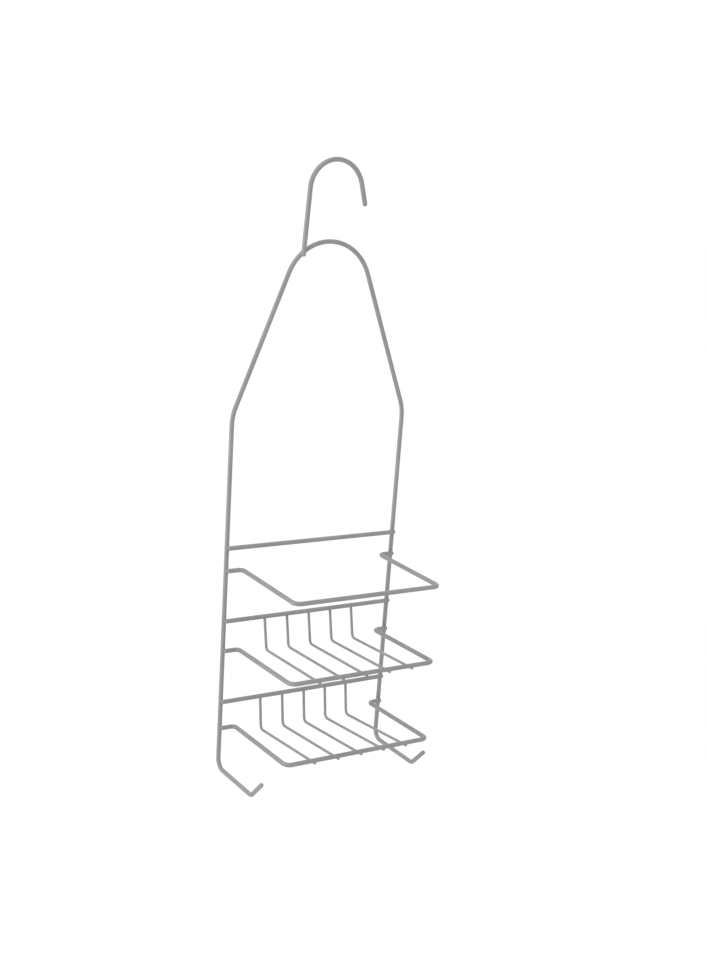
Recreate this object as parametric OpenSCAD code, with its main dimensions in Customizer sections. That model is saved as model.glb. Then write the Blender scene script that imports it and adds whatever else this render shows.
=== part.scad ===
// Hanging shower caddy of welded, coated steel wire.
// The origin is the saddle: the point under the top of the hanging hook that rests on a shower arm.
// +X is to the right, +Z is up, and the baskets reach forward along -Y.

/* [Wire] */
// Diameter of the heavy wire of the frame, the crossbars and the shelf rims
heavy_d = 4.6; // [4:0.1:6]
// Diameter of the wire of the hanging hook
hook_d = 4.8; // [4:0.1:6]
// Diameter of the thin wire of the shelf floors
thin_d = 2.8; // [2:0.1:3.6]
// How far two wires are pressed into each other where they are welded
weld_sink = 0.4; // [0.1:0.05:0.6]
// Bevel on a wire end that is cut off at a weld
cut_bevel = 0.4; // [0.2:0.1:0.8]
// How much thinner the wire is drawn in its bends than in its straight legs
bend_thinning = 0.04; // [0.03:0.01:0.1]

/* [Hanging hook] */
// Inner radius of the hook, which fits round a shower arm
saddle_r = 27.3; // [20:0.1:35]
// Angle between the hook's stem and the vertical
stem_lean = 3; // [0:0.5:8]
// Length of the stem, from the arc down to its round end
stem_length = 65.8; // [60:0.1:72]
// Angle between the hook's free end and the vertical
tip_splay = 15; // [0:1:30]
// Length of the free end, from the arc to its tip
tip_length = 22.3; // [10:0.1:35]

/* [Frame] */
// Depth of the centre of the arch below the saddle
arch_drop = 125.4; // [124:0.1:128]
// Radius of the arch, along the middle of the wire
arch_r = 49; // [44:0.5:54]
// Depth of the shoulders below the saddle
shoulder_drop = 246; // [220:1:280]
// Bend radius at the shoulders
shoulder_r = 47; // [20:1:60]
// Distance between the uprights at the shoulders, middle to middle
shoulder_w = 200; // [180:1:220]
// Distance between the uprights at the bottom, middle to middle
foot_w = 193; // [175:1:220]
// Depth of the bottom bends below the saddle
foot_drop = 611.6; // [600:0.2:660]
// Bend radius where an upright turns forward
foot_r = 10.3; // [8:0.1:16]

/* [Towel hooks] */
// How far the frame wire reaches forward before it turns up
reach = 70.8; // [50:0.2:90]
// How far it falls on the way
reach_dip = 1.5; // [0:0.5:8]
// Bend radius where it turns up
turn_up_r = 8.3; // [6:0.1:10]
// Angle of the upturned end above the horizontal
turn_up = 45; // [30:1:60]
// Length of the upturned end, from the corner of the bend to the tip
turn_up_length = 28.4; // [24:0.1:40]

/* [Crossbars] */
// Depth of the three crossbars below the saddle
crossbar_drop = [378.2, 453.8, 539.6]; // [340:0.2:580]
// How far crossbars and rims run on past the middle of the uprights
overrun = 0.2; // [0:0.1:2]

/* [Rims] */
// Depth of the three rims below the saddle, where they are welded to the uprights
rim_drop = [401.6, 485.2, 567.8]; // [360:0.2:596]
// Angle by which each rim falls towards the front
rim_pitch = [2, 0, 0]; // [-3:0.5:5]
// Reach of the rims in front of the uprights' welds, middle to middle
rim_reach = 107.2; // [90:0.2:130]
// Distance between the rims' sides at the back, middle to middle
rim_back_w = 164.4; // [140:0.2:172]
// Distance between the rims' sides at the front, middle to middle
rim_front_w = 166; // [140:0.2:172]
// Bend radius at the back corners
rim_back_r = 5; // [4:0.5:8]
// Bend radius at the front corners
rim_front_r = 6.7; // [4:0.1:20]

/* [Shelf floors] */
// Number of floor wires on each of the two shelves
floor_wires = 5; // [3:1:7]
// Distance between floor wires at the crossbar, middle to middle
floor_pitch_back = 26; // [18:0.5:27]
// Distance between floor wires at the front of the rim
floor_pitch_front = 27; // [18:0.5:27]
// How far the floor wires' front ends stand to the right of their back ends
floor_skew = 3.8; // [-6:0.2:6]
// How far each floor's back bend lies below the middle of its rim
floor_sag = [3.3, 7.5]; // [2:0.1:12]
// Distance from the rim's weld line forward to each floor's back bend
floor_back = [4.2, 2.1]; // [1:0.1:12]
// Bend radius of the floor wires
floor_r = 4.8; // [3:0.1:10]
// How far floor wires run on past the middle of their crossbar and of their rim's front bar
floor_overrun = 0.2; // [0:0.1:3]

/* [Hidden] */
$fn = 48;
X = [1, 0, 0];
Y = [0, 1, 0];

hook_r = saddle_r + hook_d / 2;                         // along the middle of the hook's wire
frame_y = (hook_d + heavy_d) / 2 - weld_sink;           // the frame lies behind the hook
weld_y = frame_y - heavy_d + weld_sink;                 // crossbars and rims lie in front of it
floor_gap = (heavy_d + thin_d) / 2 - weld_sink;         // from a floor wire to the bar it is welded to

FLOORS = ["middle", "bottom"];

WIRE_GREY = [0.61, 0.61, 0.62];

// What a straight leg of wire ends in.
BEND = 0;
ROUND = 1;
CUT = 2;

// Legs and bends run this far into each other, so that they join as one solid.
lap = 0.3;

// ---- geometry of a bent wire ----

function unit(v) = v / norm(v);
function point(p) = [p[0], p[1], p[2]];
function heading(path, i) = unit(point(path[i + 1]) - point(path[i]));

// Angle through which the wire turns at a corner.
function turn(path, i) = acos(heading(path, i - 1) * heading(path, i));

// Length of wire, on each side of a corner, that its bend takes up.
function take_up(path, i) = path[i][3] * tan(turn(path, i) / 2);

// The same path seen in a mirror that stands at x = 0, from its end to its start.
function mirrored(path) = [for (i = [len(path) - 1 : -1 : 0])
    [-path[i][0], path[i][1], path[i][2], path[i][3]]];

// The corner where the two lines meet that touch the ends of an arc in the XZ plane.
function arc_corner(centre, r, from, to) = let (mid = (from + to) / 2, far = r / cos((from - to) / 2))
    [centre[0] + far * cos(mid), centre[1], centre[2] + far * sin(mid), r];

// Moves children so that their z runs along z_axis and their x along x_axis.
module place(origin, z_axis, x_axis) {
    y_axis = cross(z_axis, x_axis);
    multmatrix([
        [x_axis[0], y_axis[0], z_axis[0], origin[0]],
        [x_axis[1], y_axis[1], z_axis[1], origin[1]],
        [x_axis[2], y_axis[2], z_axis[2], origin[2]]
    ]) children();
}

// Half of the outline of a leg's end, from its side to its axis, with the leg's tip at zero.
// A leg that ends in a bend runs on a little way into it.
function end_points(d, style) =
    style == CUT ? [[d / 2, -cut_bevel], [d / 2 - cut_bevel, 0], [0, 0]] :
    style == ROUND ? [[d / 2, -d / 2], [0, -d / 2]] :
    [[d / 2, lap / 4], [0, lap / 4]];

// A quarter disc on top of a short stretch of the leg's outline.
module round_outline(d) {
    translate([0, -lap]) square([d / 2, lap]);
    intersection() {
        circle(d = d);
        square(d);
    }
}

// A straight leg from start to end, which are the tips of its ends or the ends of its bends.
module leg(start, end, d, start_style, end_style) {
    length = norm(end - start);
    axis = (end - start) / length;
    low = end_points(d, start_style);
    high = end_points(d, end_style);
    place(start, axis, unit(cross(axis, abs(axis[0]) < 0.7 ? X : Y))) rotate_extrude() {
        polygon(concat(
            [for (i = [len(low) - 1 : -1 : 0]) [low[i][0], -low[i][1]]],
            [for (p = high) [p[0], length + p[1]]]
        ));
        if (start_style == ROUND) translate([0, d / 2]) mirror(Y) round_outline(d);
        if (end_style == ROUND) translate([0, length - d / 2]) round_outline(d);
    }
}

module bend(path, i, d) {
    before = heading(path, i - 1);
    after = heading(path, i);
    r = path[i][3];
    centre = point(path[i]) + unit(after - before) * r / cos(turn(path, i) / 2);
    start = point(path[i]) - before * take_up(path, i);
    run_on = lap / r * 180 / PI;
    place(centre, unit(cross(before, after)), unit(start - centre))
        rotate(-run_on)
            rotate_extrude(angle = turn(path, i) + 2 * run_on)
                translate([r, 0]) circle(d = d - bend_thinning);
}

// A wire along a path of [x, y, z, bend radius]: straight legs, true round bends, and two ends.
module wire(path, d, ends) {
    last = len(path) - 1;
    for (i = [0 : last - 1]) {
        way = heading(path, i);
        first_leg = i == 0;
        last_leg = i == last - 1;
        start = point(path[i]) + way * (first_leg ? 0 : take_up(path, i));
        end = point(path[i + 1]) - way * (last_leg ? 0 : take_up(path, i + 1));
        leg(start, end, d, first_leg ? ends : BEND, last_leg ? ends : BEND);
    }
    if (last > 1) for (i = [1 : last - 1]) bend(path, i, d);
}

// ---- the pieces ----

function upright_x(drop) = (foot_w + (shoulder_w - foot_w)
    * (foot_drop - drop) / (foot_drop - shoulder_drop)) / 2;

module hanging_hook() {
    centre = [0, 0, -saddle_r];
    stem_at = 180 - stem_lean;
    foot = centre + hook_r * [cos(stem_at), 0, sin(stem_at)]
        - stem_length * [sin(stem_lean), 0, cos(stem_lean)];
    tip = centre + hook_r * [cos(tip_splay), 0, sin(tip_splay)]
        + tip_length * [sin(tip_splay), 0, -cos(tip_splay)];
    color(WIRE_GREY) wire([foot, arc_corner(centre, hook_r, stem_at, tip_splay), tip], hook_d, ROUND);
}

// Angle round the arch at which the neck of the frame leaves it, so that it aims at the shoulder.
function neck_at() = let (x = shoulder_w / 2, z = arch_drop - shoulder_drop)
    atan2(z, x) + acos(arch_r / norm([x, z]));

// The right half of the frame wire, from the shoulder to the tip of the towel hook.
function half_frame() = let (low = foot_drop + reach_dip) [
    [shoulder_w / 2, frame_y, -shoulder_drop, shoulder_r],
    [foot_w / 2, frame_y, -foot_drop, foot_r],
    [foot_w / 2, frame_y - reach, -low, turn_up_r],
    [
        foot_w / 2,
        frame_y - reach - turn_up_length * cos(turn_up),
        turn_up_length * sin(turn_up) - low
    ]
];

module frame_wire() {
    arch = arc_corner([0, frame_y, -arch_drop], arch_r, 180 - neck_at(), neck_at());
    color(WIRE_GREY) wire(concat(mirrored(half_frame()), [arch], half_frame()), heavy_d, ROUND);
}

module crossbar(i) {
    half = upright_x(crossbar_drop[i]) + overrun;
    color(WIRE_GREY) wire([
        [-half, weld_y, -crossbar_drop[i]],
        [half, weld_y, -crossbar_drop[i]]
    ], heavy_d, CUT);
}

module rim(i) {
    half = [
        [rim_front_w / 2, -rim_reach, 0, rim_front_r],
        [rim_back_w / 2, 0, 0, rim_back_r],
        [upright_x(rim_drop[i]) + overrun, 0, 0]
    ];
    color(WIRE_GREY) translate([0, weld_y, -rim_drop[i]]) rotate([rim_pitch[i], 0, 0])
        wire(concat(mirrored(half), half), heavy_d, CUT);
}

// Floor wire i of a shelf: down from behind the crossbar, then forward to the underside of the rim.
module floor_wire(shelf, i) {
    rim_z = -rim_drop[shelf];
    step = i - (floor_wires + 1) / 2;
    at_crossbar = [step * floor_pitch_back, weld_y + floor_gap, -crossbar_drop[shelf]];
    back = [at_crossbar[0], weld_y - floor_back[shelf - 1], rim_z - floor_sag[shelf - 1]];
    at_rim = [
        step * floor_pitch_front + floor_skew,
        weld_y - rim_reach * cos(rim_pitch[shelf]),
        rim_z - rim_reach * sin(rim_pitch[shelf]) - floor_gap
    ];
    color(WIRE_GREY) wire([
        at_crossbar + unit(at_crossbar - back) * floor_overrun,
        [back[0], back[1], back[2], floor_r],
        at_rim + unit(at_rim - back) * floor_overrun
    ], thin_d, CUT);
}

hanging_hook();
frame_wire();
crossbar(0);  // top_crossbar
crossbar(1);  // middle_crossbar
crossbar(2);  // bottom_crossbar
rim(0);  // top_ring
rim(1);  // middle_rim
rim(2);  // bottom_rim
for (shelf = [1, 2], i = [1 : floor_wires])
    floor_wire(shelf, i);
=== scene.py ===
import math

import bmesh
import bpy
import numpy as np
from bpy.props import FloatProperty, FloatVectorProperty, IntProperty, PointerProperty
from mathutils import Matrix, Vector, noise


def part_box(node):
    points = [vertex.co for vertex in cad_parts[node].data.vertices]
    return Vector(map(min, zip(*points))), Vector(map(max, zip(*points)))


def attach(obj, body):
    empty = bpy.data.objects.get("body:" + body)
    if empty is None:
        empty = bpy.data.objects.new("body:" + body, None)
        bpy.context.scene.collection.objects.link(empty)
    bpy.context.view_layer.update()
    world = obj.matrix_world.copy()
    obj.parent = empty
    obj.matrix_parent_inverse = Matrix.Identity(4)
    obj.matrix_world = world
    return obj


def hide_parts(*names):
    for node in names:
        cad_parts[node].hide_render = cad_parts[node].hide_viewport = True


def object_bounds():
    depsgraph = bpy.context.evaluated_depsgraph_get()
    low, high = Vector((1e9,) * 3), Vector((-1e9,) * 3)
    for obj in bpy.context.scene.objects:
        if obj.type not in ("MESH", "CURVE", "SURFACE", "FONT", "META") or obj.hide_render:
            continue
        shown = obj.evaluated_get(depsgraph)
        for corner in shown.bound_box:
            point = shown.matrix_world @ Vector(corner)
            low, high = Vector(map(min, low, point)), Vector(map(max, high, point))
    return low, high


bl_info = {
    "name": "Hanging Wire Shower Caddy",
    "version": (1, 0, 0),
    "blender": (4, 5, 0),
    "location": "3D View > Sidebar > Caddy",
    "description": "A hanging shower caddy, welded from coated steel wire",
    "category": "Add Mesh",
}

# Everything is in metres. The origin is the saddle of the hanging hook, where it rests on a
# shower arm. +X is to the right, +Z is up and the shelves reach forward along -Y.
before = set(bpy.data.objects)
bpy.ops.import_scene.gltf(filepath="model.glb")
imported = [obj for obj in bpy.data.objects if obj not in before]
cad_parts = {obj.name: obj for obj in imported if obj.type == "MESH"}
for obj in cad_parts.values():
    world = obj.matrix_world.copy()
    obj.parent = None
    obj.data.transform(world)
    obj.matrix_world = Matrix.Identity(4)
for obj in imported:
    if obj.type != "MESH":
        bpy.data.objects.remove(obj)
CAD_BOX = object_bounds()
NODE_BOXES = {node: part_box(node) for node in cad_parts}

MM = 0.001
TINY = 1e-9
CUT_ROUNDING = 0.55 * MM  # how far the coating rounds the edge of a cut end
CUT_DOME = 0.06 * MM  # how far a cut end swells at its middle
LEG_STRIDE = 2.5 * MM  # between the rings of a straight leg
BEND_STRIDE = math.radians(4)  # between the rings of a bend
WELD_BALL = 5  # how many times the ball that becomes a weld's skin is split
ROUND = "round"
CUT = "cut"
SHELVES = ("middle", "bottom")
CROSSBARS = ("top_crossbar", "middle_crossbar", "bottom_crossbar")
RIMS = ("top_ring", "middle_rim", "bottom_rim")
FLOOR_WIRES = 5  # in each shelf
STUDIO_HALF_WIDTH = 30.0  # of the pale floor, in metres
HIDDEN = 0.05 * MM  # how deep a weld's skin lies inside the wires where it doesn't show


def low(node):
    return NODE_BOXES[node][0]


def high(node):
    return NODE_BOXES[node][1]


def middle(node):
    return (low(node) + high(node)) / 2


def depth(node):
    """How deep a level wire is from front to back, which is its thickness."""
    return high(node).y - low(node).y


def length(name, description, default, **more):
    return FloatProperty(
        name=name, description=description, default=default, unit="LENGTH", precision=5, **more
    )


def angle(name, description, degrees):
    return FloatProperty(
        name=name, description=description, default=math.radians(degrees), subtype="ANGLE"
    )


def share(name, description, default):
    return FloatProperty(
        name=name, description=description, default=default, min=0, max=1, subtype="FACTOR"
    )


def power(name, description, default):
    return FloatProperty(name=name, description=description, default=default, unit="POWER")


def colour(name, description, default):
    return FloatVectorProperty(
        name=name, description=description, default=default, min=0, max=1, subtype="COLOR"
    )


# ---- sizes and colours ----


class CaddyWire(bpy.types.PropertyGroup):
    """The coated wire that every piece is bent from."""

    heavy: length(
        "Heavy wire", "Thickness of the frame, crossbars and rims", depth("top_crossbar")
    )
    hook: length("Hook wire", "Thickness of the hanging hook", depth("hanging_hook"))
    thin: length("Floor wire", "Thickness of the shelf floors' wires", 2.8 * MM)
    waves: length("Coating waves", "How far the coating's thickness wanders", 0.035 * MM)
    pool: length("Weld pools", "How far coating runs out round a heavy weld", 1.7 * MM)
    thin_pool: length("Floor weld pools", "The same round a floor wire's weld", 1.15 * MM)
    sides: IntProperty(
        name="Sides", description="Faces round a heavy wire", default=40, min=12, max=96
    )


class CaddyHook(bpy.types.PropertyGroup):
    """The hook that hangs on the shower arm."""

    saddle: length("Saddle radius", "Inner radius of the hook", 27.3 * MM)
    lean: angle("Stem lean", "Angle between the stem and the vertical", 3)
    stem: length("Stem", "Length of the stem below the arc", 65.8 * MM)
    splay: angle("Tip splay", "Angle between the free end and the vertical", 15)
    tip: length("Tip", "Length of the free end below the arc", 22.3 * MM)


class CaddyFrame(bpy.types.PropertyGroup):
    """The long wire of the arch, the uprights and the towel hooks."""

    arch: length("Arch radius", "Radius of the arch, at the middle of the wire", 49 * MM)
    shoulders: length("Shoulder drop", "Depth of the shoulders below the saddle", 246 * MM)
    shoulder_bend: length("Shoulder bend", "Bend radius at the shoulders", 47 * MM)
    shoulder_width: length("Shoulder width", "Distance between the uprights there", 200 * MM)
    foot_width: length("Foot width", "Distance between the uprights at the bottom", 193 * MM)
    foot: length("Foot drop", "Depth of the bottom bends below the saddle", 611.6 * MM)
    foot_bend: length("Foot bend", "Bend radius where an upright turns forward", 10.3 * MM)
    reach: length("Reach", "How far the wire runs forward before it turns up", 70.8 * MM)
    dip: length("Dip", "How far it falls on the way", 1.5 * MM)
    turn_up_bend: length("Turn-up bend", "Bend radius where it turns up", 8.3 * MM)
    turn_up: angle("Turn-up", "Angle of the upturned end above the horizontal", 45)
    turn_up_length: length("Upturned end", "Length from the corner to the tip", 28.4 * MM)


class CaddyShelves(bpy.types.PropertyGroup):
    """The rims and the floors of the shelves."""

    back_width: length("Rim width, back", "Distance between a rim's sides there", 164.4 * MM)
    front_width: length("Rim width, front", "Distance between a rim's sides there", 166 * MM)
    back_bend: length("Back corners", "Bend radius of a rim's back corners", 5 * MM)
    front_bend: length("Front corners", "Bend radius of a rim's front corners", 6.7 * MM)
    back_pitch: length("Floor pitch, back", "Distance between floor wires there", 26 * MM)
    front_pitch: length("Floor pitch, front", "Distance between floor wires there", 27 * MM)
    skew: length("Floor skew", "How far floor wires run to the right on their way", 3.8 * MM)
    sag: FloatVectorProperty(
        name="Floor sag", description="Depth of each floor's back bend below its rim",
        size=2, default=(3.3 * MM, 7.5 * MM), unit="LENGTH", precision=5,
    )
    setback: FloatVectorProperty(
        name="Floor setback", description="How far each back bend stands in front of the bar",
        size=2, default=(4.2 * MM, 2.1 * MM), unit="LENGTH", precision=5,
    )
    floor_bend: length("Floor bends", "Bend radius of the floor wires", 4.8 * MM)
    run_on: length("Run-on", "How far floor wires run on past the middle of a weld", 0.2 * MM)


class CaddyFinish(bpy.types.PropertyGroup):
    """The satin grey coating."""

    coat: colour("Coating", "Colour of the coating", (0.246, 0.25, 0.261))
    thin_coat: colour("Thin coating", "Colour of the floor wires", (0.254, 0.258, 0.269))
    mottle: share("Mottling", "How much the tone wanders along a wire", 0.07)
    metal: share("Metal", "How metallic the coating's pigment looks", 0.3)
    satin: share("Satin", "Roughness of the coating", 0.46)
    rubbed: share("Rubbed", "How much smoother the coating is where it is rubbed", 0.16)


class CaddyStudio(bpy.types.PropertyGroup):
    """The floor, the lamps and the camera."""

    floor: colour("Floor", "Colour of the floor", (0.99, 0.99, 0.985))
    floor_drop: length("Floor drop", "Depth of the floor below the shower arm", 1.95)
    sky: FloatProperty(
        name="Room light", description="Strength of the light all round", default=1.03
    )
    key: power("Overhead lamp", "Power of the overhead lamp", 5)
    side: power("Side lamp", "Power of the lamp on the left", 7)
    fill: power("Back lamp", "Power of the lamp behind", 3)
    azimuth: angle("Azimuth", "Where the camera stands round the caddy", -33.507)
    elevation: angle("Elevation", "How far the camera looks down", 12.895)
    roll: angle("Roll", "How far the camera is tipped sideways", -3.931)
    away: length("Distance", "From the camera to the saddle, along its view", 1.4101)
    aim_right: length("Aim right", "How far right of the saddle it aims", 0.01505)
    aim_down: length("Aim down", "How far below the saddle it aims", 0.30966)
    lens: FloatProperty(name="Lens", description="Focal length", default=54.503, unit="CAMERA")


GROUPS = {
    "caddy_wire": CaddyWire,
    "caddy_hook": CaddyHook,
    "caddy_frame": CaddyFrame,
    "caddy_shelves": CaddyShelves,
    "caddy_finish": CaddyFinish,
    "caddy_studio": CaddyStudio,
}


# ---- a bent wire ----


class BentWire:
    """A wire's centre line: straight legs that meet in round bends."""

    fine = 0.3 * MM  # between the points that the centre line is kept as

    def __init__(self, corners, thickness, ends):
        self.radius = thickness / 2
        self.rounding = self.radius if ends == ROUND else CUT_ROUNDING
        self.runs, self.points, self.headings, self.strides = [], [], [], []
        self.length = 0
        start = corners[0][0]
        for i in range(1, len(corners)):
            corner, bend = corners[i]
            heading = (corner - corners[i - 1][0]).normalized()
            if i == len(corners) - 1:
                self.add_leg(start, heading, (corner - start).length)
                break
            onward = (corners[i + 1][0] - corner).normalized()
            turn = heading.angle(onward)
            taken = bend * math.tan(turn / 2)
            end = corner - heading * taken
            self.add_leg(start, heading, (end - start).length)
            self.add_bend(end, heading, onward, turn, bend)
            start = corner + onward * taken
        self.runs = np.array(self.runs)
        self.line = np.array(self.points)
        self.ways = np.array(self.headings)

    def add_leg(self, start, heading, reach):
        steps = max(2, math.ceil(reach / self.fine))
        for i in range(steps):
            run = reach * i / steps
            self.add(run, start + heading * run, heading, LEG_STRIDE)
        self.length += reach

    def add_bend(self, start, heading, onward, turn, bend):
        axis = heading.cross(onward).normalized()
        centre = start + axis.cross(heading) * bend
        reach = turn * bend
        steps = max(2, math.ceil(reach / min(self.fine, bend * math.radians(3))))
        for i in range(steps):
            turned = Matrix.Rotation(turn * i / steps, 3, axis)
            self.add(
                reach * i / steps,
                centre + turned @ (start - centre),
                turned @ heading,
                min(LEG_STRIDE, bend * BEND_STRIDE),
            )
        self.length += reach

    def add(self, run, point, heading, stride):
        self.runs.append(self.length + run)
        self.points.append(point)
        self.headings.append(heading)
        self.strides.append(stride)

    def at(self, run):
        """The point and heading this far along the wire."""
        i = min(max(int(np.searchsorted(self.runs, run, "right")) - 1, 0), len(self.runs) - 1)
        return self.points[i] + self.headings[i] * (run - self.runs[i]), self.headings[i]

    def near(self, point, margin):
        """The part of the wire round a point: places, headings and runs."""
        close = np.linalg.norm(self.line - point, axis=1) < margin
        return self.line[close], self.ways[close], self.runs[close]

    def gap(self, points, part):
        """Distances from points to the wire's surface, and the directions away from it."""
        line, ways, runs = part
        i = np.linalg.norm(points[:, None] - line[None], axis=2).argmin(1)
        along = ((points - line[i]) * ways[i]).sum(1)
        away = points - line[i] - ways[i] * along[:, None]
        out = np.linalg.norm(away, axis=1)
        away /= np.maximum(out, TINY)[:, None]
        run = runs[i] + along
        past = np.maximum(-run, run - self.length) + self.rounding
        onward = ways[i] * np.where(-run > run - self.length, -1, 1)[:, None]
        side = out - self.radius + self.rounding
        a, b = np.maximum(side, 0), np.maximum(past, 0)
        gap = np.hypot(a, b) - self.rounding + np.minimum(np.maximum(side, past), 0)
        facing = away * a[:, None] + onward * b[:, None]
        inside = np.where((side > past)[:, None], away, onward)
        facing = np.where((a + b > 0)[:, None], facing, inside)
        return gap, facing / np.maximum(np.linalg.norm(facing, axis=1), TINY)[:, None]


def end_shape(radius, edge):
    """A wire's end as rings: (setback from the tip, distance from the axis), tip first."""
    quarter = [math.radians(a) for a in (0, 11.25, 22.5, 33.75, 45, 56.25, 67.5, 78.75, 90)]
    if edge == radius:
        return [(radius * (1 - math.cos(a)), radius * math.sin(a)) for a in quarter]
    flat = radius - edge
    crown = [(CUT_DOME * s * s, flat * s) for s in (0, 0.35, 0.7)]
    rim = [
        (CUT_DOME + edge * (1 - math.cos(a)), flat + edge * math.sin(a)) for a in quarter[1:]
    ]
    return crown + [(CUT_DOME, flat)] + rim


def stations(wire):
    """Where the rings of a wire go: (run, distance from the axis)."""
    ends = end_shape(wire.radius, wire.rounding)
    inner = ends[-1][0]
    picked, last = [], inner
    for run, stride in zip(wire.runs, wire.strides):
        if inner < run < wire.length - inner - 0.1 * MM and run - last >= stride * 0.98:
            picked.append((run, wire.radius))
            last = run
    return ends + picked + [(wire.length - setback, out) for setback, out in reversed(ends)]


def wander(point, scale, seed):
    """Smooth noise from 0 to 1 at a point."""
    return 0.5 + 0.5 * noise.noise(Vector(point) * scale + Vector((seed, -seed, 2 * seed)))


def build_wire(name, wire, settings, rubbed=None, seed=1.0):
    """A coated wire as one closed mesh."""
    sides = max(12, round(settings.sides * min(1, wire.radius / 2.3 / MM) ** 0.5))
    points, worn, rings = [], [], []
    heading = wire.at(0)[1]
    side = heading.orthogonal().normalized()
    for run, out in stations(wire):
        centre, onward = wire.at(min(max(run, 0), wire.length))
        side = heading.rotation_difference(onward).to_matrix() @ side
        side = (side - onward * side.dot(onward)).normalized()
        heading = onward
        across = heading.cross(side)
        count = 1 if out < TINY else sides
        rings.append(range(len(points), len(points) + count))
        for i in range(count):
            turn = 2 * math.pi * i / sides
            radial = side * math.cos(turn) + across * math.sin(turn)
            spot = centre + radial * out
            wave = 0.2 + 0.8 * wander(spot, 95, seed)
            thinned = settings.waves * wave * (out / wire.radius)
            points.append(spot - radial * thinned)
            worn.append(rubbed(spot, radial) if rubbed else 0.0)
    faces = []
    for ring, following in zip(rings, rings[1:]):
        for i in range(sides):
            j = (i + 1) % sides
            if len(ring) == 1:
                faces.append((ring[0], following[j], following[i]))
            elif len(following) == 1:
                faces.append((ring[i], ring[j], following[0]))
            else:
                faces.append((ring[i], ring[j], following[j], following[i]))
    mesh = bpy.data.meshes.new(name)
    mesh.from_pydata(points, [], faces)
    mesh.shade_smooth()
    mesh.attributes.new("rubbed", "FLOAT", "POINT").data.foreach_set("value", worn)
    return mesh


# ---- welds ----


def crossings(wire, other):
    """The middle of each weld between two wires."""
    reach = wire.radius + other.radius
    low_corner, high_corner = wire.line.min(0) - 2 * reach, wire.line.max(0) + 2 * reach
    line = other.line[np.all((other.line > low_corner) & (other.line < high_corner), axis=1)]
    apart = np.linalg.norm(wire.line[:, None] - line[None], axis=2)
    nearest, gap = apart.argmin(1), apart.min(1)
    touching = np.nonzero(gap < reach - 0.1 * MM)[0]
    middles = []
    for group in np.split(touching, np.nonzero(np.diff(touching) > 1)[0] + 1):
        if len(group):
            i = group[gap[group].argmin()]
            middles.append(
                wire.line[i] + (line[nearest[i]] - wire.line[i]) * wire.radius / reach
            )
    return middles


def weld_skin(wire, other, middle_point, pool, seed):
    """The coating that has run together over one weld: points, directions, fill and faces.

    It is a ball of points, each sent out from inside the weld until it comes through a skin
    that joins both wires, which fills the crevice between them."""
    reach = 2.1 * max(wire.radius, other.radius) + 0.4 * pool
    parts = [w.near(middle_point, reach + 2 * w.radius) for w in (wire, other)]
    steps = np.arange(-5, 6) * 0.15 * MM
    grid = middle_point + np.stack(np.meshgrid(steps, steps, steps), -1).reshape(-1, 3)
    deepest = np.maximum(wire.gap(grid, parts[0])[0], other.gap(grid, parts[1])[0])
    centre = grid[deepest.argmin()]
    ball = bmesh.new()
    bmesh.ops.create_icosphere(ball, subdivisions=WELD_BALL, radius=1)
    ways = np.array([v.co.normalized() for v in ball.verts])
    faces = [[v.index for v in f.verts] for f in ball.faces]
    ball.free()
    pools = pool * np.array([0.8 + 0.4 * wander(centre + w * 3 * MM, 260, seed) for w in ways])

    def skin(out):
        points = centre + ways * out[:, None]
        one, away_one = wire.gap(points, parts[0])
        two, away_two = other.gap(points, parts[1])
        blend = np.clip(1 - np.abs(one - two) / pools, 0, 1)
        shows = np.sqrt(4 * HIDDEN / pools)
        # fill is how far the coating fills the crevice between the wires; the shader also uses it
        # to darken the coating there as painted shade
        fill = np.clip((blend - shows) / (1 - shows), 0, 1)
        lean = np.where(one < two, 1 - fill / 2, fill / 2)[:, None]
        depth_in = np.minimum(one, two) - blend * blend * pools / 4 + HIDDEN
        return depth_in, away_one * lean + away_two * (1 - lean), fill

    near, far = np.zeros(len(ways)), np.full(len(ways), reach)
    for _ in range(18):
        between = (near + far) / 2
        inside = skin(between)[0] < 0
        near, far = np.where(inside, between, near), np.where(inside, far, between)
    _, facing, fill = skin(near)
    facing /= np.maximum(np.linalg.norm(facing, axis=1), TINY)[:, None]
    stopped = near > reach * 0.999
    facing[stopped] = ways[stopped]
    return centre + ways * near[:, None], facing, fill, faces


def build_welds(name, pairs, pool, seed):
    """All the welds between pairs of wires, as one mesh."""
    points, facing, fill_and_shade_masks, faces, count = [], [], [], [], 0
    for wire, other in pairs:
        middles = crossings(wire, other)
        if not middles:
            raise RuntimeError(f"{name}: two wires that should be welded don't touch")
        for middle_point in middles:
            seed += 1.7
            skin = weld_skin(wire, other, middle_point, pool, seed)
            points.append(skin[0])
            facing.append(skin[1])
            fill_and_shade_masks.append(skin[2])
            faces += [[i + count for i in face] for face in skin[3]]
            count += len(skin[0])
    mesh = bpy.data.meshes.new(name)
    mesh.from_pydata(np.concatenate(points).tolist(), [], faces)
    mesh.shade_smooth()
    # The fill is kept on the points: it makes the pooled coating glossier, and it darkens the
    # weld crevice as painted shade
    pooled_and_shaded = mesh.attributes.new("pooled_and_shaded", "FLOAT", "POINT")
    pooled_and_shaded.data.foreach_set("value", np.concatenate(fill_and_shade_masks).tolist())
    mesh.normals_split_custom_set_from_vertices(np.concatenate(facing).tolist())
    return mesh


def clear(name):
    """Takes away what an earlier run of the same step left."""
    old = bpy.data.objects.get(name)
    if old:
        bpy.data.objects.remove(old)


def fit_piece(name, mesh, material, node=None):
    """Puts a finished piece in the scene, in place of its CAD node if it has one."""
    clear(name)
    piece = bpy.data.objects.new(name, mesh)
    bpy.context.scene.collection.objects.link(piece)
    mesh.materials.append(material)
    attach(piece, "root")
    if node:
        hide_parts(node)


# ---- the wires' centre lines ----


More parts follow.
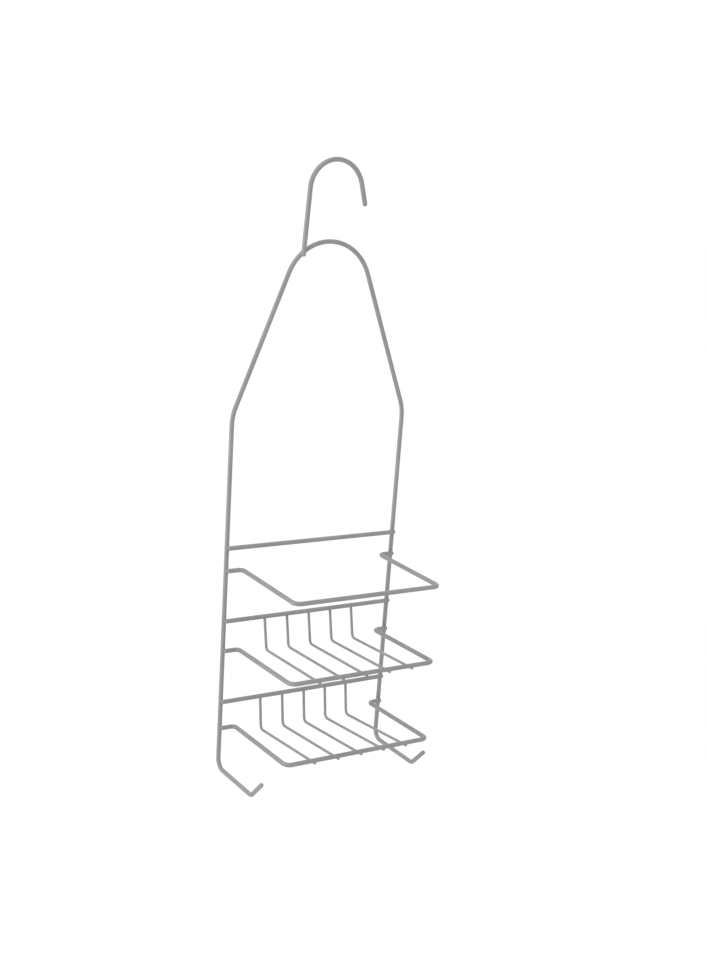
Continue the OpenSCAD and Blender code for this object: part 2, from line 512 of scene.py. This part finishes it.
def hook_wire(scene):
    """Up the stem, round the arc that hangs on the shower arm and down the free end."""
    wire, hook = scene.caddy_wire, scene.caddy_hook
    radius = hook.saddle + wire.hook / 2
    centre = Vector((0, middle("hanging_hook").y, -hook.saddle))
    stem_at = math.pi - hook.lean

    def round_arc(at, reach):
        return centre + Vector((math.cos(at), 0, math.sin(at))) * reach

    stem_way = Vector((-math.sin(hook.lean), 0, -math.cos(hook.lean)))
    tip_way = Vector((math.sin(hook.splay), 0, -math.cos(hook.splay)))
    foot = round_arc(stem_at, radius) + stem_way * hook.stem
    tip = round_arc(hook.splay, radius) + tip_way * hook.tip
    half = (stem_at - hook.splay) / 2
    crown = round_arc((stem_at + hook.splay) / 2, radius / math.cos(half))
    return BentWire([(foot, 0), (crown, radius), (tip, 0)], wire.hook, ROUND)


def frame_wire(scene):
    """From the left towel hook up, over the arch and down to the right towel hook."""
    wire, sizes = scene.caddy_wire, scene.caddy_frame
    back = high("frame_wire").y - wire.heavy / 2
    arch_centre = high("frame_wire").z - wire.heavy / 2 - sizes.arch
    shoulder = Vector((sizes.shoulder_width / 2, back, -sizes.shoulders))
    neck = Vector((shoulder.x, 0, shoulder.z - arch_centre))
    neck_at = math.atan2(neck.z, neck.x) + math.acos(sizes.arch / neck.length)
    arch = Vector((0, back, arch_centre + sizes.arch / math.sin(neck_at)))
    low_z = -sizes.foot - sizes.dip
    half = [
        (shoulder, sizes.shoulder_bend),
        (Vector((sizes.foot_width / 2, back, -sizes.foot)), sizes.foot_bend),
        (Vector((sizes.foot_width / 2, back - sizes.reach, low_z)), sizes.turn_up_bend),
    ]
    upturned = Vector((0, -math.cos(sizes.turn_up), math.sin(sizes.turn_up)))
    half.append((half[-1][0] + upturned * sizes.turn_up_length, 0))
    other = [(Vector((-p.x, p.y, p.z)), bend) for p, bend in reversed(half)]
    return BentWire(other + [(arch, sizes.arch)] + half, wire.heavy, ROUND)


def crossbar_wire(scene, node):
    """Straight across, from one cut end to the other."""
    start, end = middle(node), middle(node)
    start.x, end.x = low(node).x, high(node).x
    return BentWire([(start, 0), (end, 0)], scene.caddy_wire.heavy, CUT)


def rim_wire(scene, node):
    """A rim goes from one upright forward, across the front and back to the other upright."""
    sizes, radius = scene.caddy_shelves, scene.caddy_wire.heavy / 2
    back = Vector((high(node).x, high(node).y - radius, high(node).z - radius))
    front = Vector((0, low(node).y + radius, low(node).z + radius))
    half = [
        (Vector((sizes.front_width / 2, front.y, front.z)), sizes.front_bend),
        (Vector((sizes.back_width / 2, back.y, back.z)), sizes.back_bend),
        (back, 0),
    ]
    other = [(Vector((-p.x, p.y, p.z)), bend) for p, bend in reversed(half)]
    return BentWire(other + half, scene.caddy_wire.heavy, CUT)


def floor_wire(scene, shelf, number):
    """Down from behind the crossbar, then forward to the underside of the rim's front."""
    wire, sizes = scene.caddy_wire, scene.caddy_shelves
    crossbar, rim = CROSSBARS[shelf + 1], RIMS[shelf + 1]
    node = f"{SHELVES[shelf]}_floor_wire_{number}"
    step = number - (FLOOR_WIRES + 1) / 2
    radius = wire.heavy / 2
    bar = middle(crossbar)
    top = Vector((step * sizes.back_pitch, high(node).y - wire.thin / 2, bar.z))
    bend = Vector((top.x, bar.y - sizes.setback[shelf], high(rim).z - radius - sizes.sag[shelf]))
    front = Vector((step * sizes.front_pitch + sizes.skew, low(rim).y + radius, 0))
    front.z = low(rim).z + radius - (top.y - bar.y)
    top += (top - bend).normalized() * sizes.run_on
    front += (front - bend).normalized() * sizes.run_on
    return node, BentWire([(top, 0), (bend, sizes.floor_bend), (front, 0)], wire.thin, CUT)


# ---- the coating ----


def add_node(tree, kind, x, y, **values):
    node = tree.nodes.new(kind)
    node.location = (x, y)
    for key, value in values.items():
        setattr(node, key, value)
    return node


def spread(tree, source, low_value, high_value, x, y):
    """Stretches a 0 to 1 pattern to run between two values."""
    node = add_node(tree, "ShaderNodeMapRange", x, y)
    node.inputs["From Min"].default_value = 0.3
    node.inputs["From Max"].default_value = 0.7
    node.inputs["To Min"].default_value = low_value
    node.inputs["To Max"].default_value = high_value
    tree.links.new(source, node.inputs["Value"])
    return node.outputs["Result"]


def sum_of(tree, first, second, x, y, kind="ADD"):
    """Adds or multiplies two values, each a socket or a number."""
    node = add_node(tree, "ShaderNodeMath", x, y, operation=kind)
    for socket, value in zip(node.inputs, (first, second)):
        if isinstance(value, (int, float)):
            socket.default_value = value
        else:
            tree.links.new(value, socket)
    return node.outputs[0]


def painted(tree, name, x, y):
    """A value kept on the mesh's own points."""
    return add_node(tree, "ShaderNodeAttribute", x, y, attribute_name=name).outputs["Fac"]


def pattern(tree, place, scale, detail, x, y):
    """Noise that stays fixed to the piece."""
    node = add_node(tree, "ShaderNodeTexNoise", x, y)
    node.inputs["Scale"].default_value = scale
    node.inputs["Detail"].default_value = detail
    tree.links.new(place, node.inputs["Vector"])
    return node.outputs["Fac"]


def coating(name, tone, finish):
    """Satin grey coating: a little mottled, with fine orange peel, lighter and smoother where
    rubbed, glossier where it pools over a weld, and with painted shade darkening the weld
    crevices.
    """
    material = bpy.data.materials.get(name) or bpy.data.materials.new(name)
    material.use_nodes = True
    tree = material.node_tree
    tree.nodes.clear()
    output = add_node(tree, "ShaderNodeOutputMaterial", 900, 0)
    shader = add_node(tree, "ShaderNodeBsdfPrincipled", 600, 0)
    tree.links.new(shader.outputs[0], output.inputs[0])
    shader.inputs["Metallic"].default_value = finish.metal
    shader.inputs["Specular IOR Level"].default_value = 0.45
    place = add_node(tree, "ShaderNodeTexCoord", -1100, 0).outputs["Object"]
    rubbed = painted(tree, "rubbed", -1100, -300)
    pooled_and_shaded = painted(tree, "pooled_and_shaded", -1100, -500)
    patches = pattern(tree, place, 38, 3, -850, 300)
    flakes = pattern(tree, place, 3400, 1, -850, 100)
    peel = pattern(tree, place, 620, 2, -850, -100)

    brightness = spread(tree, patches, 1 - finish.mottle, 1 + finish.mottle, -600, 300)
    sparkle = spread(tree, flakes, 0.965, 1.035, -600, 100)
    brightness = sum_of(tree, brightness, sparkle, -400, 250, "MULTIPLY")
    lift = sum_of(tree, rubbed, 0.14, -600, -250, "MULTIPLY")
    # painted shade: the coating is darkened by up to 7% where it fills a weld's crevice
    painted_crevice_shade = sum_of(tree, pooled_and_shaded, -0.07, -600, -420, "MULTIPLY")
    brightness = sum_of(tree, brightness, sum_of(tree, lift, painted_crevice_shade, -400, -300), -200, 200)
    tint = add_node(tree, "ShaderNodeVectorMath", 100, 200, operation="SCALE")
    tint.inputs[0].default_value = tone
    tree.links.new(brightness, tint.inputs["Scale"])
    tree.links.new(tint.outputs[0], shader.inputs["Base Color"])

    rough = spread(tree, patches, finish.satin - 0.04, finish.satin + 0.05, -600, -20)
    smoother = sum_of(tree, rubbed, -finish.rubbed, -400, -120, "MULTIPLY")
    rough = sum_of(tree, rough, smoother, -200, 0)
    glossier = sum_of(tree, pooled_and_shaded, -0.06, -400, -500, "MULTIPLY")
    rough = sum_of(tree, rough, glossier, 0, 0)
    tree.links.new(rough, shader.inputs["Roughness"])

    grain = sum_of(tree, flakes, 0.12, -400, 100, "MULTIPLY")
    height = sum_of(tree, peel, grain, -200, -200)
    bump = add_node(tree, "ShaderNodeBump", 300, -250)
    bump.inputs["Strength"].default_value = 0.55
    bump.inputs["Distance"].default_value = 0.045 * MM
    tree.links.new(height, bump.inputs["Height"])
    tree.links.new(bump.outputs[0], shader.inputs["Normal"])
    return material


def heavy_coating(scene):
    return coating("satin_grey_coating", scene.caddy_finish.coat, scene.caddy_finish)


def thin_coating(scene):
    return coating("thin_satin_grey_coating", scene.caddy_finish.thin_coat, scene.caddy_finish)


def fade(distance, full, none):
    """1 up to one distance, smoothly down to 0 at another."""
    share_left = min(max((none - distance) / (none - full), 0), 1)
    return share_left * share_left * (3 - 2 * share_left)


# ---- operators ----


class CADDY_OT_hanging_hook(bpy.types.Operator):
    """Build the hook that hangs on the shower arm"""

    bl_idname = "caddy.hanging_hook"
    bl_label = "Hanging Hook"

    def execute(self, context):
        scene = context.scene
        saddle = Vector((0, 0, -scene.caddy_hook.saddle))

        def rubbed(point, facing):
            inward = max(0, facing.dot((saddle - point).normalized()))
            return inward * fade(point.length, 7 * MM, 20 * MM)

        mesh = build_wire(
            "coated_hanging_hook", hook_wire(scene), scene.caddy_wire, rubbed, 3.1
        )
        fit_piece(
            "coated_hanging_hook", mesh, heavy_coating(scene), "hanging_hook"
        )
        return {"FINISHED"}


class CADDY_OT_frame_wire(bpy.types.Operator):
    """Build the long wire of the arch, the uprights and the towel hooks"""

    bl_idname = "caddy.frame_wire"
    bl_label = "Frame Wire"

    def execute(self, context):
        scene = context.scene
        bottom = -scene.caddy_frame.foot
        crook = low("frame_wire").y + 36 * MM

        def rubbed(point, facing):
            in_crook = fade(abs(point.y - crook), 12 * MM, 34 * MM)
            return max(0, facing.z) * in_crook * fade(abs(point.z - bottom), 6 * MM, 24 * MM)

        mesh = build_wire(
            "coated_frame_wire", frame_wire(scene), scene.caddy_wire, rubbed, 1.7
        )
        fit_piece("coated_frame_wire", mesh, heavy_coating(scene), "frame_wire")
        return {"FINISHED"}


class CADDY_OT_crossbars(bpy.types.Operator):
    """Build the three bars between the uprights"""

    bl_idname = "caddy.crossbars"
    bl_label = "Crossbars"

    def execute(self, context):
        scene = context.scene
        for i, node in enumerate(CROSSBARS):
            wire = crossbar_wire(scene, node)
            mesh = build_wire(f"coated_{node}", wire, scene.caddy_wire, seed=5.3 + i)
            fit_piece(f"coated_{node}", mesh, heavy_coating(scene), node)
        return {"FINISHED"}


class CADDY_OT_rims(bpy.types.Operator):
    """Build the bottle ring and the two shelf rims"""

    bl_idname = "caddy.rims"
    bl_label = "Ring and Rims"

    def execute(self, context):
        scene = context.scene
        for i, node in enumerate(RIMS):
            wire = rim_wire(scene, node)
            mesh = build_wire(f"coated_{node}", wire, scene.caddy_wire, seed=11.9 + i)
            fit_piece(f"coated_{node}", mesh, heavy_coating(scene), node)
        return {"FINISHED"}


class CADDY_OT_floor_wires(bpy.types.Operator):
    """Build the thin wires of both shelf floors"""

    bl_idname = "caddy.floor_wires"
    bl_label = "Shelf Floors"

    def execute(self, context):
        scene = context.scene

        def rubbed(point, facing):
            return 0.6 * max(0, facing.z) * fade(abs(point.y + 55 * MM), 20 * MM, 52 * MM)

        for shelf in range(len(SHELVES)):
            for number in range(1, FLOOR_WIRES + 1):
                node, wire = floor_wire(scene, shelf, number)
                mesh = build_wire(
                    f"coated_{node}", wire, scene.caddy_wire, rubbed, 17.3 + 7 * shelf + number
                )
                fit_piece(
                    f"coated_{node}", mesh, thin_coating(scene), node
                )
        return {"FINISHED"}


class CADDY_OT_welds(bpy.types.Operator):
    """Run the coating together over every weld"""

    bl_idname = "caddy.welds"
    bl_label = "Welds"

    def execute(self, context):
        scene = context.scene
        pool, thin_pool = scene.caddy_wire.pool, scene.caddy_wire.thin_pool
        frame_line = frame_wire(scene)
        bars = [crossbar_wire(scene, node) for node in CROSSBARS]
        rims = [rim_wire(scene, node) for node in RIMS]
        heavy = {
            "hook_weld": ([(hook_wire(scene), frame_line)], 1.2 * pool),
            "crossbar_welds": ([(bar, frame_line) for bar in bars], pool),
            "rim_welds": ([(rim, frame_line) for rim in rims], pool),
        }
        for i, (name, (pairs, spread_out)) in enumerate(heavy.items()):
            mesh = build_welds(name, pairs, spread_out, 31.0 + 20 * i)
            fit_piece(name, mesh, heavy_coating(scene))
        for shelf, shelf_name in enumerate(SHELVES):
            pairs = []
            for number in range(1, FLOOR_WIRES + 1):
                wire = floor_wire(scene, shelf, number)[1]
                pairs += [(wire, bars[shelf + 1]), (wire, rims[shelf + 1])]
            name = f"{shelf_name}_floor_welds"
            mesh = build_welds(name, pairs, thin_pool, 95.0 + 40 * shelf)
            fit_piece(name, mesh, thin_coating(scene))
        return {"FINISHED"}


# ---- the studio ----


def studio_floor(scene):
    studio = scene.caddy_studio
    material = bpy.data.materials.get("pale_floor") or bpy.data.materials.new("pale_floor")
    material.use_nodes = True
    tree = material.node_tree
    tree.nodes.clear()
    output = add_node(tree, "ShaderNodeOutputMaterial", 600, 0)
    shader = add_node(tree, "ShaderNodeBsdfDiffuse", 300, 0)
    tree.links.new(shader.outputs[0], output.inputs[0])
    place = add_node(tree, "ShaderNodeTexCoord", -600, 0).outputs["Object"]
    cloudy = spread(tree, pattern(tree, place, 0.7, 2, -400, 0), 0.995, 1.0, -200, 0)
    tint = add_node(tree, "ShaderNodeVectorMath", 0, 0, operation="SCALE")
    tint.inputs[0].default_value = studio.floor
    tree.links.new(cloudy, tint.inputs["Scale"])
    tree.links.new(tint.outputs[0], shader.inputs["Color"])
    clear("studio_floor")
    half, deep = STUDIO_HALF_WIDTH, -studio.floor_drop
    mesh = bpy.data.meshes.new("studio_floor")
    corners = [(-half, -half, deep), (half, -half, deep), (half, half, deep), (-half, half, deep)]
    mesh.from_pydata(corners, [], [(0, 1, 2, 3)])
    mesh.materials.append(material)
    floor = bpy.data.objects.new("studio_floor", mesh)
    scene.collection.objects.link(floor)


def studio_lamp(scene, name, place, watts, width):
    """A square soft box that faces the middle of the caddy."""
    clear(name)
    light = bpy.data.lights.new(name, "AREA")
    light.energy, light.size = watts, width
    lamp = bpy.data.objects.new(name, light)
    centre = (CAD_BOX[0] + CAD_BOX[1]) / 2
    lamp.location = place
    lamp.rotation_euler = (Vector(place) - centre).to_track_quat("Z", "Y").to_euler()
    lamp.visible_camera = False
    scene.collection.objects.link(lamp)


def studio_camera(scene):
    studio = scene.caddy_studio
    a, e = studio.azimuth, studio.elevation
    back = Vector((math.sin(a) * math.cos(e), -math.cos(a) * math.cos(e), math.sin(e)))
    right = Vector((math.cos(a), math.sin(a), 0))
    level = Matrix((right, back.cross(right), back)).transposed()
    turned = level @ Matrix.Rotation(-studio.roll, 3, "Z")
    right, up = turned.col[0], turned.col[1]
    clear("studio_camera")
    camera = bpy.data.objects.new("studio_camera", bpy.data.cameras.new("studio_camera"))
    camera.data.lens = studio.lens
    camera.data.sensor_width = 36
    camera.data.clip_start, camera.data.clip_end = 0.01, 200
    camera.matrix_world = Matrix.Translation(
        back * studio.away + right * studio.aim_right - up * studio.aim_down
    ) @ turned.to_4x4()
    scene.collection.objects.link(camera)
    scene.camera = camera


class CADDY_OT_studio(bpy.types.Operator):
    """Set up the pale floor, the soft lamps and the camera"""

    bl_idname = "caddy.studio"
    bl_label = "Studio"

    def execute(self, context):
        scene = context.scene
        studio = scene.caddy_studio
        studio_floor(scene)
        studio_lamp(scene, "overhead_lamp", (-0.6, -0.2, 1.1), studio.key, 1.0)
        studio_lamp(scene, "side_lamp", (-1.4, 0.2, -0.3), studio.side, 0.9)
        studio_lamp(scene, "back_lamp", (1.2, 1.4, 0.5), studio.fill, 1.2)
        world = bpy.data.worlds.get("studio_room") or bpy.data.worlds.new("studio_room")
        world.use_nodes = True
        room = world.node_tree.nodes["Background"]
        room.inputs["Color"].default_value = (1, 1, 1, 1)
        room.inputs["Strength"].default_value = studio.sky
        scene.world = world
        scene.view_settings.view_transform = "Standard"
        studio_camera(scene)
        return {"FINISHED"}


OPERATORS = (
    CADDY_OT_hanging_hook,
    CADDY_OT_frame_wire,
    CADDY_OT_crossbars,
    CADDY_OT_rims,
    CADDY_OT_floor_wires,
    CADDY_OT_welds,
    CADDY_OT_studio,
)


class CADDY_PT_build(bpy.types.Panel):
    """Lists the caddy's sizes and the steps that build it"""

    bl_idname = "CADDY_PT_build"
    bl_label = "Shower Caddy"
    bl_space_type = "VIEW_3D"
    bl_region_type = "UI"
    bl_category = "Caddy"

    def draw(self, context):
        layout = self.layout
        for operator in OPERATORS:
            layout.operator(operator.bl_idname)
        for name in GROUPS:
            settings = getattr(context.scene, name)
            box = layout.box()
            box.label(text=name.replace("_", " ").title())
            for key in settings.__annotations__:
                box.prop(settings, key)


CLASSES = (*GROUPS.values(), *OPERATORS, CADDY_PT_build)


def register():
    for made in CLASSES:
        bpy.utils.register_class(made)
    for name, group in GROUPS.items():
        setattr(bpy.types.Scene, name, PointerProperty(type=group))


def unregister():
    for name in GROUPS:
        delattr(bpy.types.Scene, name)
    for made in reversed(CLASSES):
        bpy.utils.unregister_class(made)


def main():
    register()
    bpy.ops.caddy.studio()
    bpy.ops.caddy.frame_wire()
    bpy.ops.caddy.hanging_hook()
    bpy.ops.caddy.crossbars()
    bpy.ops.caddy.rims()
    bpy.ops.caddy.floor_wires()
    bpy.ops.caddy.welds()


if __name__ == "__main__":
    main()
